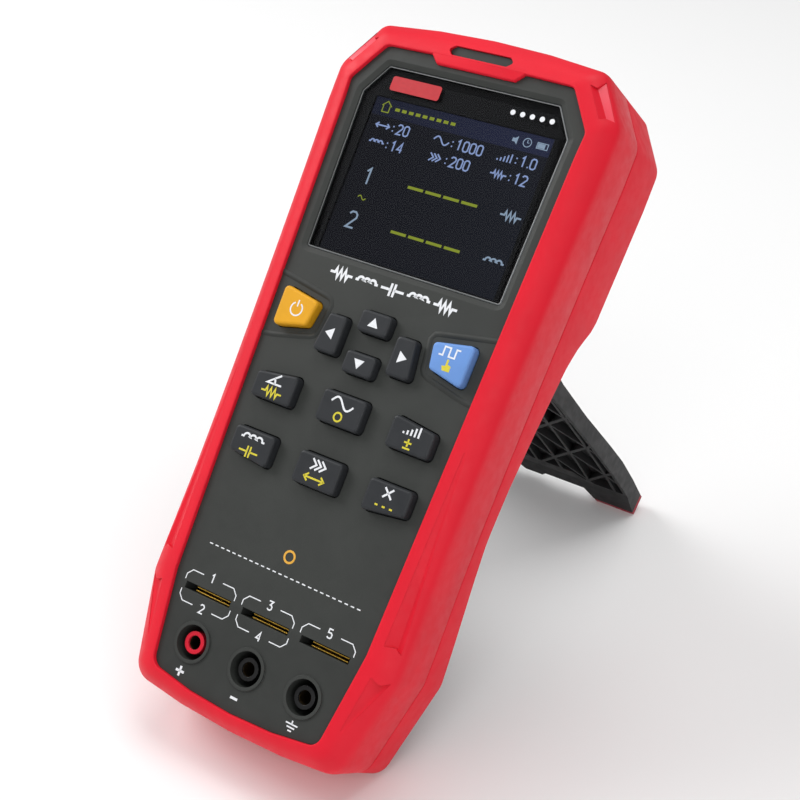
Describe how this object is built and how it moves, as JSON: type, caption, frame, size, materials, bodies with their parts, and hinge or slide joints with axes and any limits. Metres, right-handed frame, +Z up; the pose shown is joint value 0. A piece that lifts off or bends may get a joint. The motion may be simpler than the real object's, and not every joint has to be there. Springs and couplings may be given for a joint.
{
  "type": "handheld lcr meter",
  "caption": "Handheld component meter leaning on a folding rear stand, with a colour display, press keys, test slots and shrouded jacks in a soft red grip shell.",
  "frame": {"origin": "on the floor, midway between the front and rear extents of the standing meter, on its left-right centre plane", "axes": "+Z up, +X to the right seen from the front, the face leans back and looks towards -Y and +Z"},
  "size_m": [0.09, 0.1782, 0.1728],
  "materials": {
    "hard_case": "fine texture, moulded ABS",
    "soft_red": "satin thermoplastic elastomer",
    "window_clear": "polished clear acrylic",
    "gasket_foam": "matte foam adhesive",
    "display_glass": "dark liquid-crystal glass, lit",
    "tin_plate": "pressed tin plate",
    "amber_film": "polyimide film",
    "circuit_board": "green solder mask",
    "grey_silicone": "matte silicone",
    "black_part": "matte black",
    "power_amber": "satin moulded keycap",
    "trigger_blue": "satin moulded keycap",
    "key_dark": "satin moulded keycap",
    "jack_red": "glossy insulator",
    "jack_black": "glossy insulator",
    "gold_contact": "gold-plated spring metal",
    "battery_wrap": "shrink wrap",
    "screw_steel": "zinc-plated steel",
    "stand_black": "textured moulded nylon",
    "foot_red": "matte rubber"
  },
  "bodies": {
    "meter": {"front_case": "hard_case", "rear_case": "hard_case", "front_overmould": "soft_red", "rear_overmould": "soft_red", "lens_window": "window_clear", "lens_gasket": "gasket_foam", "display_panel": "display_glass", "display_frame": "tin_plate", "display_ribbon": "amber_film", "main_board": "circuit_board", "input_board": "circuit_board", "board_link": "grey_silicone", "shield_can": "tin_plate", "buzzer": "black_part", "usb_socket": "tin_plate", "keypad_mat": "grey_silicone", "plus_jack": "jack_red", "minus_jack": "jack_black", "guard_jack": "jack_black", "jack_sockets": "gold_contact", "slot_contacts": "gold_contact", "battery_pack": "battery_wrap", "battery_door": "hard_case", "battery_door_screws": "screw_steel", "case_screws": "screw_steel", "board_screws": "screw_steel"},
    "stand": {"tilt_stand": "stand_black", "stand_feet": "foot_red"},
    "power_button": {"power_key": "power_amber"},
    "trigger_button": {"trigger_key": "trigger_blue"},
    "up_button": {"up_key": "key_dark"},
    "down_button": {"down_key": "key_dark"},
    "left_button": {"left_key": "key_dark"},
    "right_button": {"right_key": "key_dark"},
    "quality_button": {"quality_key": "key_dark"},
    "frequency_button": {"frequency_key": "key_dark"},
    "level_button": {"level_key": "key_dark"},
    "mode_button": {"mode_key": "key_dark"},
    "speed_button": {"speed_key": "key_dark"},
    "clear_button": {"clear_key": "key_dark"}
  },
  "joints": [
    {"name": "stand_hinge", "type": "hinge", "parent": "meter", "child": "stand", "pos_m": [0, 0.01216, 0.09137], "axis": [1, 0, 0], "range_deg": [-77.23, 0]},
    {"name": "power_press", "type": "slide", "parent": "meter", "child": "power_button", "axis": [0, 0.776, -0.6307], "range_m": [0, 0.001], "stiffness_N_per_m": 80},
    {"name": "trigger_press", "type": "slide", "parent": "meter", "child": "trigger_button", "axis": [0, 0.776, -0.6307], "range_m": [0, 0.001], "stiffness_N_per_m": 80},
    {"name": "up_press", "type": "slide", "parent": "meter", "child": "up_button", "axis": [0, 0.776, -0.6307], "range_m": [0, 0.001], "stiffness_N_per_m": 80},
    {"name": "down_press", "type": "slide", "parent": "meter", "child": "down_button", "axis": [0, 0.776, -0.6307], "range_m": [0, 0.001], "stiffness_N_per_m": 80},
    {"name": "left_press", "type": "slide", "parent": "meter", "child": "left_button", "axis": [0, 0.776, -0.6307], "range_m": [0, 0.001], "stiffness_N_per_m": 80},
    {"name": "right_press", "type": "slide", "parent": "meter", "child": "right_button", "axis": [0, 0.776, -0.6307], "range_m": [0, 0.001], "stiffness_N_per_m": 80},
    {"name": "quality_press", "type": "slide", "parent": "meter", "child": "quality_button", "axis": [0, 0.776, -0.6307], "range_m": [0, 0.001], "stiffness_N_per_m": 80},
    {"name": "frequency_press", "type": "slide", "parent": "meter", "child": "frequency_button", "axis": [0, 0.776, -0.6307], "range_m": [0, 0.001], "stiffness_N_per_m": 80},
    {"name": "level_press", "type": "slide", "parent": "meter", "child": "level_button", "axis": [0, 0.776, -0.6307], "range_m": [0, 0.001], "stiffness_N_per_m": 80},
    {"name": "mode_press", "type": "slide", "parent": "meter", "child": "mode_button", "axis": [0, 0.776, -0.6307], "range_m": [0, 0.001], "stiffness_N_per_m": 80},
    {"name": "speed_press", "type": "slide", "parent": "meter", "child": "speed_button", "axis": [0, 0.776, -0.6307], "range_m": [0, 0.001], "stiffness_N_per_m": 80},
    {"name": "clear_press", "type": "slide", "parent": "meter", "child": "clear_button", "axis": [0, 0.776, -0.6307], "range_m": [0, 0.001], "stiffness_N_per_m": 80}
  ]
}
